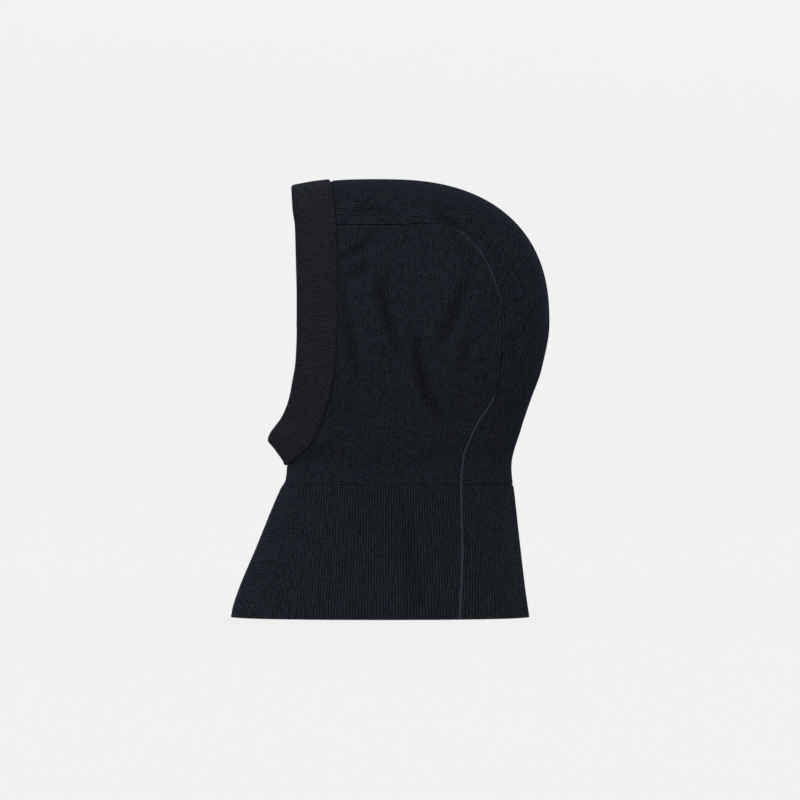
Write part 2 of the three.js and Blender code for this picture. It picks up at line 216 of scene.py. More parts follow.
def back_line(z):
    up = np.clip((z - EAR_Z) / CROWN_UP, 0, 1)
    over = EAR_Y + CROWN_BACK * (1 - up**CROWN_ROUNDNESS) ** (1 / CROWN_ROUNDNESS)
    return np.where(z <= EAR_Z, back_curve(z), over)


def closing(y, z):
    """How far a point lies towards the back or the crown: 0 at the ears, 1 on the outline."""
    behind = np.maximum(y - EAR_Y, 0)
    above = np.maximum(z - EAR_Z, 0)
    level = behind / (back_curve(z) - EAR_Y)
    arch = above / (crown_line(y) - EAR_Z)
    n = CROWN_ROUNDNESS
    dome = ((behind / CROWN_BACK) ** n + (above / CROWN_UP) ** n) ** (1 / n)
    return np.where(z <= EAR_Z, level, np.where(y <= EAR_Y, arch, dome))


def openness(y, z):
    fronting = np.maximum(EAR_Y - y, 0) / (EAR_Y - front_line(z))
    n = SECTION_ROUNDNESS
    return (1 - fronting**n) * (1 - closing(y, z) ** n)


def reach(y, z):
    """The outer surface's distance from the centre plane."""
    return half_width(z) * np.maximum(openness(y, z), 0) ** (1 / SECTION_ROUNDNESS)


def normal_at(x, y, z):
    """The outward normal, from the gradient of the form's implicit equation."""
    step = 0.02

    def f(u, v, w):
        return (np.abs(u) / half_width(w)) ** SECTION_ROUNDNESS - openness(v, w)

    gradient = np.stack([f(x + step, y, z) - f(x - step, y, z), f(x, y + step, z) - f(x, y - step, z),
                         f(x, y, z + step) - f(x, y, z - step)], -1)
    return gradient / np.linalg.norm(gradient, axis=-1, keepdims=True)


def fold_depth(y, z):
    """How far the soft folds sink below the smooth form. Each fades out towards its two ends."""
    shoulder_share, shoulder_width = 0.35, 2.2  # a low broad swell on both sides of a fold
    depth = np.zeros(np.broadcast(y, z).shape)
    for line, width, deep in CHEEK_FOLDS + CROWN_FOLDS + NECK_FOLDS:
        corners = np.array(line, float)
        run = lengths_along(corners, 0)
        nearest = np.full(depth.shape, np.inf)
        share = np.zeros(depth.shape)
        for start, end, begun, done in zip(corners, corners[1:], run, run[1:]):
            along = end - start
            part = ((y - start[0]) * along[0] + (z - start[1]) * along[1]) / (done - begun) ** 2
            part = np.clip(part, 0, 1)
            away = np.hypot(y - start[0] - part * along[0], z - start[1] - part * along[1])
            share = np.where(away < nearest, mix(begun, done, part) / run[-1], share)
            nearest = np.minimum(away, nearest)
        fade = np.sin(math.pi * share) ** 0.7
        shoulder = shoulder_share * bump(nearest, shoulder_width * width)
        depth += deep * fade * (bump(nearest, width) - shoulder)
    return depth


def soft_depth(x, y, z):
    """The folds' depth, which dies out towards the centre plane."""
    return fold_depth(y, z) * np.clip(x / FOLD_FADE, 0, 1)


def puff(y, z):
    """How far the jersey stands up behind its seam with the face band."""
    behind = np.maximum(y - band_line(z), 0)
    return puff_height(z) * (1 - bump(behind, PUFF_START)) * bump(behind, PUFF_REACH)


def on_form(y, z, raised, shift=0.0):
    """Points of the left half from their side view, raised along the normal, in drawn millimetres."""
    y, z, raised = np.broadcast_arrays(y, z, raised)
    x = reach(y, z)
    normal = normal_at(x, y, z)
    lifted = raised + puff(y, z) - soft_depth(x, y, z)
    point = np.stack([x, y, z], -1) + normal * lifted[..., None]
    point[..., 0] += shift
    return point


def placer(side_view, on_left):
    """Places a surface on both sides of the centre plane. place(raised) gives its points."""
    def place(raised):
        points = on_form(*side_view, raised)
        points[..., 0] *= np.where(on_left, 1, -1)
        return points

    return place


def lengths_along(points, axis):
    """Distance run along one axis of a grid of points."""
    step = np.linalg.norm(np.diff(points, axis=axis), axis=-1)
    start = np.zeros_like(np.take(step, [0], axis=axis))
    return np.concatenate([start, np.cumsum(step, axis=axis)], axis=axis)


def angle_of(y, z):
    """Section angle: -90 degrees at the front of a level section, 0 at the ears, 90 degrees at the back."""
    towards = np.where(y < EAR_Y, EAR_Y - front_line(z), back_line(z) - EAR_Y)
    return np.arcsin(np.clip((y - EAR_Y) / towards, -1, 1))


def depth_at(angle, z):
    """The y of a section angle at a height."""
    towards = np.where(angle < 0, EAR_Y - front_line(z), back_line(z) - EAR_Y)
    return EAR_Y + towards * np.sin(angle)


# ---- lines on the form
RISE_SCALE = 100  # millimetres below the ears that count as one radian
HALVINGS = 40


def band_angles(point):
    """A point beside the face as its section angle and its rise, the angle above the ears."""
    y, z = point
    depth = float(front_line(z)) if y is None else y
    height = float(crown_line(y)) if z is None else z
    rise = (height - EAR_Z) / (crown_line(depth) - EAR_Z)
    turned = math.asin(min(rise, 1)) if height > EAR_Z else (height - EAR_Z) / RISE_SCALE
    return float(angle_of(depth, height)), turned


def band_path(points):
    """A line round the face. It runs on into its mirror image, so it crosses the centre plane squarely."""
    angles = [band_angles(p) for p in points]
    before_forehead = (angles[1][0], math.pi - angles[1][1])
    past_chin = (-math.pi - angles[-2][0], angles[-2][1])
    line = path([before_forehead, *angles, past_chin])
    return lambda station: line(station + 1)


face_edge = band_path(FACE_EDGE)
band_seam = band_path(BAND_SEAM)
panel_seam = path(PANEL_SEAM)
centre_guide = path(CENTRE_LINE)


def band_point(station, across):
    """Side view of the band, from its folded edge (0) to its seam (1) and beyond."""
    angle, rise = mix_point(face_edge(station), band_seam(station), across)
    low_z = EAR_Z + rise * RISE_SCALE
    low_y = depth_at(np.maximum(angle, -math.pi / 2), low_z)
    high_y = depth_at(angle, EAR_Z)
    high_z = EAR_Z + (crown_line(high_y) - EAR_Z) * np.sin(np.clip(rise, 0, math.pi / 2))
    low = rise <= 0
    return np.where(low, low_y, high_y), np.where(low, low_z, high_z)


def beside_seam(station, share):
    """Side view of a point beside a panel seam, at a share of the way to the centre line."""
    return mix_point(panel_seam(station), centre_guide(station), share)


def crown_point(station, across):
    """Side view of the crown panel, from its seam (0) to the centre line (1), evenly round the form."""
    seam = panel_seam(station)
    guide = centre_guide(station)
    inside, outside = 0, 1.5  # shares of the way, the second surely past the outline
    for _ in range(HALVINGS):
        middle = (inside + outside) / 2
        within = closing(*mix_point(seam, guide, middle)) < 1
        inside = np.where(within, middle, inside)
        outside = np.where(within, outside, middle)
    level = closing(*seam)
    start = np.arcsin(level)
    share = (np.sin(mix(start, math.pi / 2, across)) - level) / (1 - level)
    return mix_point(seam, guide, share * inside)


def evenly(curve, count, along):
    """Parameters that divide a curve into even lengths."""
    samples = 2000
    fine = np.linspace(*along, samples)
    run = lengths_along(curve(fine), 0)
    return np.interp(np.linspace(0, run[-1], count), run, fine)


# ---- meshes
def add_object(name, data):
    made = bpy.data.objects.new(name, data)
    bpy.context.scene.collection.objects.link(made)
    return made


def add_mesh(name, points, faces, material):
    """A smoothly shaded mesh in the scene."""
    mesh = bpy.data.meshes.new(name)
    mesh.from_pydata(points, [], faces)
    mesh.polygons.foreach_set("use_smooth", np.ones(len(faces), bool))
    mesh.materials.append(material)
    return add_object(name, mesh)


def mesh_piece(node, made_of, points, faces, stitch, inside, material):
    """The piece that replaces a CAD node, from points in drawn millimetres and their stitch coordinates."""
    piece = add_mesh(f"{node}_{made_of}", (points * UNIT).tolist(), faces, material)
    mesh = piece.data
    corner = np.zeros(len(mesh.loops), int)
    mesh.loops.foreach_get("vertex_index", corner)
    uv = mesh.uv_layers.new(name="stitch")
    uv.data.foreach_set("uv", stitch[corner].astype(np.float32).ravel())
    x, y, z = points.T
    # The second attribute carries each point's fold depth, for the shade painted into the wool in the folds
    # and the light painted on the puffs.
    for label, values in (("inside", inside), ("painted_fold_shade", soft_depth(np.abs(x), y, z))):
        layer = mesh.attributes.new(label, "FLOAT", "POINT")
        layer.data.foreach_set("value", values.astype(np.float32))
    mesh.update()
    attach(piece, "root")
    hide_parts(node)
    return piece


def grid_faces(rows, columns, start, flip=False):
    """Quads of a grid of points numbered row by row."""
    i, j = np.meshgrid(np.arange(columns - 1), np.arange(rows - 1))
    a = (start + j * columns + i).ravel()
    quads = np.stack([a, a + 1, a + columns + 1, a + columns], -1)
    return quads[:, ::-1] if flip else quads


def wall_faces(rings, around, closed):
    """Quads between rings of points numbered ring by ring. A closed row of rings ends at its start."""
    s, k = np.meshgrid(np.arange(rings if closed else rings - 1), np.arange(around), indexing="ij")
    next_s, next_k = (s + 1) % rings, (k + 1) % around
    corners = (s, k), (s, next_k), (next_s, next_k), (next_s, k)
    return np.stack([ring * around + place for ring, place in corners], -1).reshape(-1, 4)


def rim_faces(outer, inner):
    """Quads between two rows of point numbers."""
    return np.stack([outer[1:], outer[:-1], inner[:-1], inner[1:]], -1)


def knit_sheet(node, outer, inner, stitch, material):
    """A closed sheet from two grids of points. It faces out where rows and columns are right-handed."""
    rows, columns = outer.shape[:2]
    count = rows * columns
    number = np.arange(count).reshape(rows, columns)
    edges = [number[0], number[:, -1], number[-1, ::-1], number[::-1, 0]]
    faces = [grid_faces(rows, columns, 0), grid_faces(rows, columns, count, flip=True)]
    faces += [rim_faces(edge, edge + count) for edge in edges]
    points = np.concatenate([outer.reshape(-1, 3), inner.reshape(-1, 3)])
    inside = np.repeat([0.0, 1.0], count)
    both = np.concatenate([stitch.reshape(-1, 2)] * 2)
    return mesh_piece(node, "knit", points, np.concatenate(faces).tolist(), both, inside, material)


def knit_ring(node, made_of, points, stitch, inside, material):
    """A closed ring: points[station, place round the section]."""
    faces = wall_faces(*points.shape[:2], closed=True).tolist()
    flat = points.reshape(-1, 3)
    return mesh_piece(node, made_of, flat, faces, stitch.reshape(-1, 2), inside.ravel(), material)


def mirror(points):
    """The right-hand copy of a grid, with its columns turned round so that it still faces out."""
    return points[:, ::-1] * (-1, 1, 1)


def knit_pair(node, outer, inner, stitch, material):
    """A left-hand sheet and its right-hand copy."""
    left = knit_sheet(f"left_{node}", outer, inner, stitch, material)
    right = knit_sheet(f"right_{node}", mirror(outer), mirror(inner), stitch[:, ::-1], material)
    return left, right


# ---- materials
class Nodes:
    """Adds nodes to a tree from short expressions."""

    def __init__(self, tree):
        self.tree = tree

    def node(self, kind, inputs=None, **settings):
        made = self.tree.nodes.new(kind)
        for key, value in settings.items():
            setattr(made, key, value)
        self.fill(made.inputs, inputs or {})
        return made

    def fill(self, sockets, values):
        for key, value in values.items():
            self.put(sockets[key], value)

    def put(self, socket, value):
        if isinstance(value, bpy.types.NodeSocket):
            self.tree.links.new(value, socket)
        else:
            socket.default_value = value

    def math(self, operation, *values):
        made = self.node("ShaderNodeMath", operation=operation)
        for socket, value in zip(made.inputs, values):
            self.put(socket, value)
        return made.outputs[0]

    def cosine(self, turns):
        return self.math("COSINE", self.math("MULTIPLY", turns, TURN))

    def one_less_square(self, value):
        """1 - value squared, but never below 0."""
        return self.math("MAXIMUM", self.math("SUBTRACT", 1.0, self.math("POWER", value, 2.0)), 0.0)

    def vector_math(self, operation, a, b):
        return self.node("ShaderNodeVectorMath", {0: a, 1: b}, operation=operation)

    def colour_mix(self, share, a, b):
        made = self.node("ShaderNodeMix", data_type="RGBA")
        for index, value in ((0, share), (6, a), (7, b)):
            self.put(made.inputs[index], value)
        return made.outputs[2]

    def noise(self, vector, scale, detail=2.0):
        made = self.node("ShaderNodeTexNoise", {"Vector": vector, "Scale": scale, "Detail": detail})
        return made.outputs["Fac"]

    def attribute(self, name):
        return self.node("ShaderNodeAttribute", attribute_name=name).outputs["Fac"]


def new_material(name):
    """A material, with its nodes and the inputs of its surface shader."""
    material = bpy.data.materials.new(name)
    material.use_nodes = True
    tree = material.node_tree
    return material, Nodes(tree), tree.nodes["Principled BSDF"].inputs


def stitches_outside(s, column, row, column_share):
    """Height of the V stitches: domed columns, each with a cleft down its middle and slanting strands."""
    cleft_depth, cleft_narrowness = 0.35, 4.0
    strand_depth, slant = 0.3, 0.8
    from_middle = s.math("SUBTRACT", s.math("FRACT", column), 0.5)
    off_centre = s.math("MULTIPLY", s.math("ABSOLUTE", from_middle), 2.0)
    dome = s.math("SQRT", s.one_less_square(s.math("DIVIDE", off_centre, column_share)))
    cleft = s.one_less_square(s.math("MULTIPLY", off_centre, cleft_narrowness))
    slanted = s.math("SUBTRACT", row, s.math("MULTIPLY", off_centre, slant))
    strand = s.math("MULTIPLY_ADD", s.cosine(slanted), strand_depth, 1 - strand_depth)
    legs = s.math("MULTIPLY", dome, s.math("MULTIPLY_ADD", cleft, -cleft_depth, 1.0))
    return s.math("MULTIPLY", legs, strand)


def loops_inside(s, column, row):
    """Height of the wavy rows of loops on the inside of a knit."""
    wave, depth, middle = 0.22, 0.4, 0.5
    wavy_row = s.math("MULTIPLY_ADD", s.cosine(column), wave, row)
    return s.math("MULTIPLY_ADD", s.cosine(wavy_row), depth, middle)


def yarn_share(s, height, place, body, fibre, grain):
    """Where the colour lies between the gaps' (0) and the yarn's (1), uneven as heather wool is, with
    painted shade in the gaps between stitches and in the folds, and painted light on the puffs.
    """
    contrast, gap_shade_offset = 1.4, -0.28
    # Painted shade: the wool is drawn darker in proportion to a fold's depth and lighter on the puffs, for
    # the shade and light that fall there.
    painted_fold_shade_per_mm = -0.13  # per millimetre of a fold's depth
    # Noise scales are in patterns to a metre, and streaks in patterns to a column.
    heather = s.noise(body, 800.0)
    mottle = s.noise(body, 60.0)
    along_yarn = s.vector_math("MULTIPLY", place, (1.0, 0.22, 1.0)).outputs[0]
    streak = s.noise(along_yarn, 1.0, 1.0)
    # The stitch height sets the colour, so the gaps between stitches and the rib furrows are painted
    # darker, as painted shade in those recesses.
    share = s.math("MULTIPLY_ADD", height, contrast, gap_shade_offset)
    for noise, amount in ((fibre, 3.0 * grain), (heather, 1.35 * grain), (streak, 0.6), (mottle, 0.12)):
        share = s.math("MULTIPLY_ADD", s.math("SUBTRACT", noise, 0.5), amount, share)
    share = s.node("ShaderNodeClamp", {"Value": share}).outputs[0]
    return s.math("MULTIPLY", share, s.math("MULTIPLY_ADD", s.attribute("painted_fold_shade"), painted_fold_shade_per_mm, 1.0))


def wool(name, gap_shade, yarn, column_share=1.0, grain=1.0):
    """Navy knitted wool: columns of V stitches outside, loops inside, heather fibres, painted shade in the
    gaps and folds, and a faint sheen.
    """
    material, s, surface = new_material(name)
    place = s.node("ShaderNodeUVMap", uv_map="stitch").outputs[0]
    parts = s.node("ShaderNodeSeparateXYZ", {"Vector": place}).outputs
    column, row = parts[0], parts[1]
    outside_height = stitches_outside(s, column, row, column_share)
    difference = s.math("SUBTRACT", loops_inside(s, column, row), outside_height)
    height = s.math("MULTIPLY_ADD", difference, s.attribute("inside"), outside_height)

    body = s.node("ShaderNodeTexCoord").outputs["Object"]
    fibre = s.noise(body, 1300.0)
    share = yarn_share(s, height, place, body, fibre, grain)
    navy = s.colour_mix(share, gap_shade, yarn)
    warm = s.math("MULTIPLY", s.noise(body, 160.0), 0.5)
    warm_tint = (1.02, 0.97, 0.95)
    grey = tuple(sum(yarn[:3]) / 3 * tint for tint in warm_tint) + (1,)
    s.put(surface["Base Color"], s.colour_mix(s.math("MULTIPLY", warm, share), navy, grey))

    fuzzy = s.math("MULTIPLY_ADD", s.math("SUBTRACT", fibre, 0.5), 0.35, height)
    relief = s.node("ShaderNodeBump", {"Height": fuzzy, "Strength": 1.0, "Distance": 0.2 * MM})
    s.fill(surface, {"Normal": relief.outputs[0], "Roughness": 1.0, "Specular IOR Level": 0.0,
                     "Sheen Weight": 0.018, "Sheen Roughness": 0.4, "Sheen Tint": (0.45, 0.60, 0.85, 1)})
    return material


def studio_paper():
    """Pale paper lit mostly from behind, which stays even all round and still takes a soft shadow."""
    material, s, surface = new_material("studio_paper")
    s.fill(surface, {"Base Color": (0.05, 0.05, 0.05, 1), "Roughness": 0.95, "Specular IOR Level": 0.0,
                     "Emission Color": (1, 1, 1, 1), "Emission Strength": 0.795})
    material.cycles.emission_sampling = "NONE"
    return material


# Each gap colour is the yarn's colour darkened as painted shade for the gaps between stitches and the rib
# furrows.
JERSEY = wool("navy_jersey", gap_shade=(0.0008, 0.0010, 0.0016, 1), yarn=(0.0118, 0.0148, 0.0222, 1))
RIB = wool("navy_rib", gap_shade=(0.0020, 0.0025, 0.0037, 1), yarn=(0.0137, 0.0164, 0.0246, 1),
           column_share=0.8, grain=1.5)
# The band's yarn is drawn lighter than the jersey's: partly the band's own tone, partly painted light for
# the key light that its front does not get.
BAND = wool("navy_band", gap_shade=(0.0037, 0.0044, 0.0061, 1), yarn=(0.0166, 0.0182, 0.0256, 1),
            column_share=0.8, grain=1.1)
# The seam yarn is drawn lighter than the jersey: a painted highlight for the light that the raised linking
# stitches catch.
SEAM_YARN_PAINTED_LIGHT = wool("navy_seam_painted_light", gap_shade=(0.008, 0.010, 0.014, 1), yarn=(0.027, 0.032, 0.044, 1))


# ---- relief
def seam_roll(distance, roll, dip, crest=2.2, crest_width=1.3, furrow_width=0.8):
    """Height of a piece near its sewn edge: it rolls up a little and then sinks into the seam."""
    return roll * bump(distance - crest, crest_width) - dip * bump(distance, furrow_width)


# How plainly a panel seam shows. Below the ears it goes by height, crisp up the neck and faint behind the
# ear. Above them it goes by depth, crisp from the forehead to the crown and faint round the arch.
low_strength = smooth([(0, 1), (160, 1), (182, 0.4), (205, 0.15), (EAR_Z, 0.2)])
high_strength = smooth([(-50, 0.8), (4, 0.8), (20, 0.3), (60, 0.3), (88, 0.2)])


def seam_strength(y, z):
    """How plainly a panel seam shows, from 0 to 1."""
    return np.where(z > EAR_Z, high_strength(y), low_strength(z))


def ridge(turns):
    """Rounded rib profile from -1 in the furrows to 1 on the ridges."""
    return blunt_cosine(TURN * turns, 0.7)


def crowded(share, ends=0.7):
    """Spreads grid lines so that they lie closer together near both ends."""
    return share - ends * np.sin(TURN * share) / TURN


# ---- flat sizes
STRETCH = 1.25  # area of the worn knit over its area at rest
RIB_OPENED = 1.6  # width of a rib pulled open until its furrows lie flat, over its width at rest


def rest_area(points):
    """Area at rest of a piece whose outer surface is a grid of points."""
    down = points[1:, 1:] - points[:-1, :-1]
    up = points[1:, :-1] - points[:-1, 1:]
    return np.linalg.norm(np.cross(down, up), axis=-1).sum() / 2 / STRETCH


# ---- hood pieces
def side_panel_outline():
    """The side panel's edges in section angle and height: up the band, up the seam, and along the top."""
    allowance = 0.16  # share of the band's width that the panel's edge runs on between its two layers
    half_station = 0.5
    bottom = NECK_LINE + SEWN_GAP

    left = [(depth_at(-math.pi / 2, bottom), bottom)]
    left += [band_point(station, 1 - allowance) for station in np.arange(CHIN, BAND_CORNER, -half_station)]
    left.append(beside_seam(0, -SEWN_SHARE))
    upwards = np.arange(PANEL_NECK, PANEL_TURN - half_station, -half_station)
    right = [beside_seam(station, -SEWN_SHARE) for station in upwards]
    right[0] = (right[0][0], bottom)
    top = [beside_seam(station, -SEWN_SHARE) for station in range(PANEL_TURN + 1)]
    return [[(float(angle_of(y, z)), float(z)) for y, z in line] for line in (left, right, top)]


def evenly_along(points, shares):
    """Points of a smooth line at shares of its length, with section angles measured as lengths."""
    angle_scale = 80  # millimetres to one radian
    line = np.array(points) * (angle_scale, 1)
    run = lengths_along(line, 0)
    at_angle = smooth(list(zip(run, line[:, 0])))
    at_height = smooth(list(zip(run, line[:, 1])))
    return at_angle(shares * run[-1]) / angle_scale, at_height(shares * run[-1])


def side_panel_grid(columns, rows):
    """The side panel's (y, z), with columns from the band to the seam and rows from the neck line up."""
    left, right, top = side_panel_outline()
    u = crowded(np.linspace(0, 1, columns))
    v = crowded(np.linspace(0, 1, rows))[:, None]
    left_at = evenly_along(left, v)
    right_at = evenly_along(right, v)
    top_at = evenly_along(top, u)
    out = []
    for k in (0, 1):
        low = mix(left[0][k], right[0][k], u)
        high = mix(left[-1][k], right[-1][k], u)
        out.append(mix(left_at[k], right_at[k], u) + mix(low, top_at[k], v) - mix(low, high, v))
    angle, z = out
    return depth_at(angle, z), z


def ear_level_run(y):
    """Length round the form at ear level, from the ears to a depth y. It spaces a side panel's wales."""
    angles = np.linspace(-math.pi / 2, math.pi / 2, 1200)
    levels = depth_at(angles, EAR_Z)
    run = lengths_along(np.stack([reach(levels, EAR_Z), levels], -1), 0)
    return np.interp(y, levels, run) - np.interp(EAR_Y, levels, run)


def wale_run(y, z):
    """Where a side panel's wales lie: upright above the ears and drawn in towards the neck."""
    drawn_in = depth_at(angle_of(y, np.minimum(z, EAR_Z)), EAR_Z)
    return ear_level_run(drawn_in)


def side_panels():
    columns, rows = 110, 150
    y, z = side_panel_grid(columns, rows)
    flat = on_form(y, z, 0)
    from_seam = lengths_along(flat[:, ::-1], 1)[:, ::-1]
    from_neck = lengths_along(flat, 0)
    from_top = lengths_along(flat[::-1], 0)[::-1]
    at_seam = seam_roll(from_seam, 0.2, 1.2) + seam_roll(from_top, 0.4, 0.5)
    raised = seam_strength(y, z) * at_seam + seam_roll(from_neck, 0.1, 0.35)
    outer = on_form(y, z, raised, SEWN_GAP / 2)
    inner = on_form(y, z, raised - KNIT, SEWN_GAP / 2)
    stitch = np.stack([wale_run(y, z) / WALE, z / COURSE], -1)
    return *knit_pair("side_panel", outer, inner, stitch, JERSEY), rest_area(flat)


def strip_placer(station, u):
    """Places a strip between the panel seams, from the right one (u = 0) to the left one (u = 1)."""
    across = mix(SEWN_SHARE, 1, 1 - np.abs(2 * u - 1))
    return placer(crown_point(station, across), u >= 0.5)


def crown_panel():
    columns, rows = 100, 330
    end = PANEL_NECK - 0.006  # just short of the neck rib
    half_strip = 54  # from a seam to the middle of the strip, on average

    def middle_line(station):
        return on_form(*crown_point(station, 0.5), 0)

    station = evenly(middle_line, rows, (0, end))[:, None]
    u = crowded(np.linspace(0, 1, columns))
    place = strip_placer(station, u)
    flat = place(0)
    run = lengths_along(flat, 1)
    from_seam = np.minimum(run, run[:, -1:] - run)
    from_neck = lengths_along(flat[::-1], 0)[::-1]
    at_seam = seam_roll(from_seam, 0.5, 0.5, crest=1.6, crest_width=1.2, furrow_width=0.6)
    raised = seam_strength(flat[..., 1], flat[..., 2]) * at_seam + seam_roll(from_neck, 0.1, 0.35)
    wales = 2 * round(half_strip / WALE)
    run_down = lengths_along(flat, 0)[:, columns // 4]
    stitch = np.stack(np.broadcast_arrays(u * wales, run_down[:, None] / COURSE), -1)
    piece = knit_sheet("crown_panel", place(raised), place(raised - KNIT), stitch, JERSEY)
    return piece, rest_area(flat), run_down[-1]


# ---- neck ribs
# Half the height from the furrows to the ridges, on the neck, on the band and along the hem.
RIB_RELIEF = 0.34
BAND_RELIEF = 0.31
HEM_RELIEF = 0.15
RIB_FADE = 1.5  # the ribs flatten over this distance from the neck line and the front seam
SEAM_FADE = 1.0  # and over this one from a panel seam
FAN = 0.13  # how much further apart the ribs are at the hem than at the neck line


def trim_hem(grid, ribs):
    """Cuts a neck piece off at the hem, where its furrows end a little higher than its ribs."""
    hem = HEM_RELIEF * (1 - ridge(ribs))
    grid[-1, :, 2] = hem
    grid[..., 2] = np.maximum(grid[..., 2], hem)


def ribbed_layers(place, edges, ribs, fade):
    """A neck piece's outer and inner surface, cut off at the hem."""
    raised = edges + RIB_RELIEF * ridge(ribs) * fade
    layers = place(raised), place(raised - KNIT)
    for grid in layers:
        trim_hem(grid, ribs[-1])
    return layers


def section_run(angle, z):
    """Length round a level section from the ears, negative towards the front."""
    fine = np.linspace(-math.pi / 2, math.pi / 2, 400)
    levels = z[:, :1]
    y = depth_at(fine, levels)
    run = lengths_along(np.stack([reach(y, levels), y], -1), 1)
    middle = run[:, len(fine) // 2, None]
    return np.stack([np.interp(a, fine, r) for a, r in zip(angle, run - middle)])


def neck_sheets():
    columns, rows = 720, 62
    v = crowded(np.linspace(0, 1, rows))[:, None]
    u = np.linspace(0, 1, columns)
    z = np.repeat(mix(NECK_LINE - SEWN_GAP, 0, v), columns, axis=1)
    station = mix(PANEL_NECK, HEM, v)
    seam_y = beside_seam(station, -SEWN_SHARE)[0]
    angle = mix(-math.pi / 2, angle_of(seam_y, z[:, :1]), 1 - u)
    y = depth_at(angle, z)
    run = section_run(angle, z)
    ribs = run / NECK_RIB / (1 + FAN * (NECK_LINE - z) / NECK_LINE)
    from_front = run - run[:, -1:]
    from_seam = run[:, :1] - run
    from_neck = NECK_LINE - z
    fade = (1 - bump(from_front, RIB_FADE)) * (1 - bump(from_seam, SEAM_FADE))
    fade = fade * (1 - bump(from_neck, RIB_FADE))
    edges = seam_roll(from_front, 0.3, 1.1) + seam_roll(from_seam, 0.2, 1.1)
    edges = edges + seam_roll(from_neck, 0, 0.35)
    outer, inner = ribbed_layers(lambda raised: on_form(y, z, raised, SEWN_GAP / 2), edges, ribs, fade)
    stitch = np.stack([ribs + 0.5, z / COURSE], -1)
    area = RIB_OPENED * rest_area(on_form(y, z, 0))
    return *knit_pair("neck_rib", outer, inner, stitch, RIB), area


def back_neck_sheet():
    columns, rows = 560, 60
    start = PANEL_NECK + 0.003  # just below the neck line
    v = crowded(np.linspace(0, 1, rows))[:, None]
    u = np.linspace(0, 1, columns)
    place = strip_placer(mix(start, HEM, v), u)
    flat = place(0)
    run = lengths_along(flat, 1)
    from_seam = np.minimum(run, run[:, -1:] - run)
    from_neck = lengths_along(flat, 0)
    count = 2 * round(run[0, -1] / 2 / BACK_RIB)
    ribs = np.broadcast_to(u * count, run.shape)
    fade = (1 - bump(from_seam, SEAM_FADE)) * (1 - bump(from_neck, RIB_FADE))
    edges = seam_roll(from_seam, 0.5, 0.5, crest=1.5, crest_width=1.1, furrow_width=0.6)
    edges = edges + seam_roll(from_neck, 0, 0.35)
    outer, inner = ribbed_layers(place, edges, ribs, fade)
    down = from_neck[:, columns // 4, None] / COURSE
    stitch = np.stack(np.broadcast_arrays(ribs + 0.5, down), -1)
    piece = knit_sheet("back_neck_rib", outer, inner, stitch, RIB)
    return piece, RIB_OPENED * rest_area(flat)


# ---- face band
SLOT_GAP = 0.9  # between the hood's edge and each of the band's two layers, which hold it
BAND_WIDTH = 33


def face_stations(count):
    """Even stations along the middle of the band, down its left side and up its right, as three columns:
    the station, whether it is on the left, and the length so far."""
    def middle_line(station):
        return on_form(*band_point(station, 0.5), 0)

    down = evenly(middle_line, count + 1, (0, CHIN))
    run = lengths_along(middle_line(down), 0)
    station = np.concatenate([down[:-1], down[:0:-1]])
    on_left = np.arange(2 * count) < count
    along = np.concatenate([run[:-1], 2 * run[-1] - run[:0:-1]])
    return station[:, None], on_left[:, None], along[:, None]


def band_section():
    """The doubled band's section, all the way round. Each point has its share across the band, its height
    over the form, how far it is ribbed, and 1 where it faces in."""
    outside, inside = SLOT_GAP + KNIT, -2 * KNIT - SLOT_GAP
    middle = (outside + inside) / 2
    radius = (outside - inside) / 2
    fold_share = 0.085
    flat_shares = np.linspace(0.95, 0.10, 11)

    def flat(share):
        return share, outside + 0.25 * bump(share - 0.55, 0.4), 1, 0

    def fold(t):
        return fold_share * (1 + math.cos(t)), middle + radius * math.sin(t), 1, 0.5 - 0.5 * math.sin(t)

    section = [(1, SLOT_GAP - 0.5, 0, 0), (1, SLOT_GAP + 0.1, 0.2, 0), (0.985, SLOT_GAP + 0.9, 0.7, 0)]
    section += [flat(share) for share in flat_shares]
    section += [fold(t) for t in np.linspace(math.pi / 2, 3 * math.pi / 2, 11)[1:-1]]
    section += [(share, inside, 1, 1) for share in flat_shares[::-1]]
    section += [(0.985, inside + 0.4, 0.6, 1), (1, inside + 0.6 * KNIT, 0.2, 1)]
    slot = [(1, -SLOT_GAP - KNIT), (0.7, -SLOT_GAP - KNIT), (0.66, middle - 0.2), (0.2, middle - 0.2),
            (0.2, middle + 0.2), (0.66, middle + 0.2), (0.7, SLOT_GAP)]
    section += [(share, raised, 0, 1) for share, raised in slot]
    return [np.array(values, float) for values in zip(*section)]


def face_band():
    ribs_round = 320
    per_rib = 7
    station, on_left, along = face_stations(ribs_round * per_rib // 2)
    across, raised, ribbed, facing_in = band_section()
    total = 2 * along[len(along) // 2, 0]
    turns = along / total * ribs_round
    away_from_chin = np.abs(along - total / 2)
    chin_seam = seam_roll(away_from_chin, 0.3, 0.9) * ribbed
    out = np.where(facing_in > 0.5, -1.0, 1.0)
    relief = out * (BAND_RELIEF * ridge(turns) * ribbed + chin_seam)
    points = placer(band_point(station, across), on_left)(raised + relief)
    on_centre = np.isclose(away_from_chin[:, 0], 0) | (along[:, 0] == 0)
    points[on_centre, :, 0] = 0
    section = np.stack([across * BAND_WIDTH, raised], -1)
    stitch = np.stack(np.broadcast_arrays(turns + 0.5, lengths_along(section, 0) / COURSE), -1)
    no_loops = np.zeros(points.shape[:2])  # both faces of the band show the outside of the knit
    piece = knit_ring("face_band", "knit", points, stitch, no_loops, BAND)
    return piece, RIB_OPENED * total / STRETCH


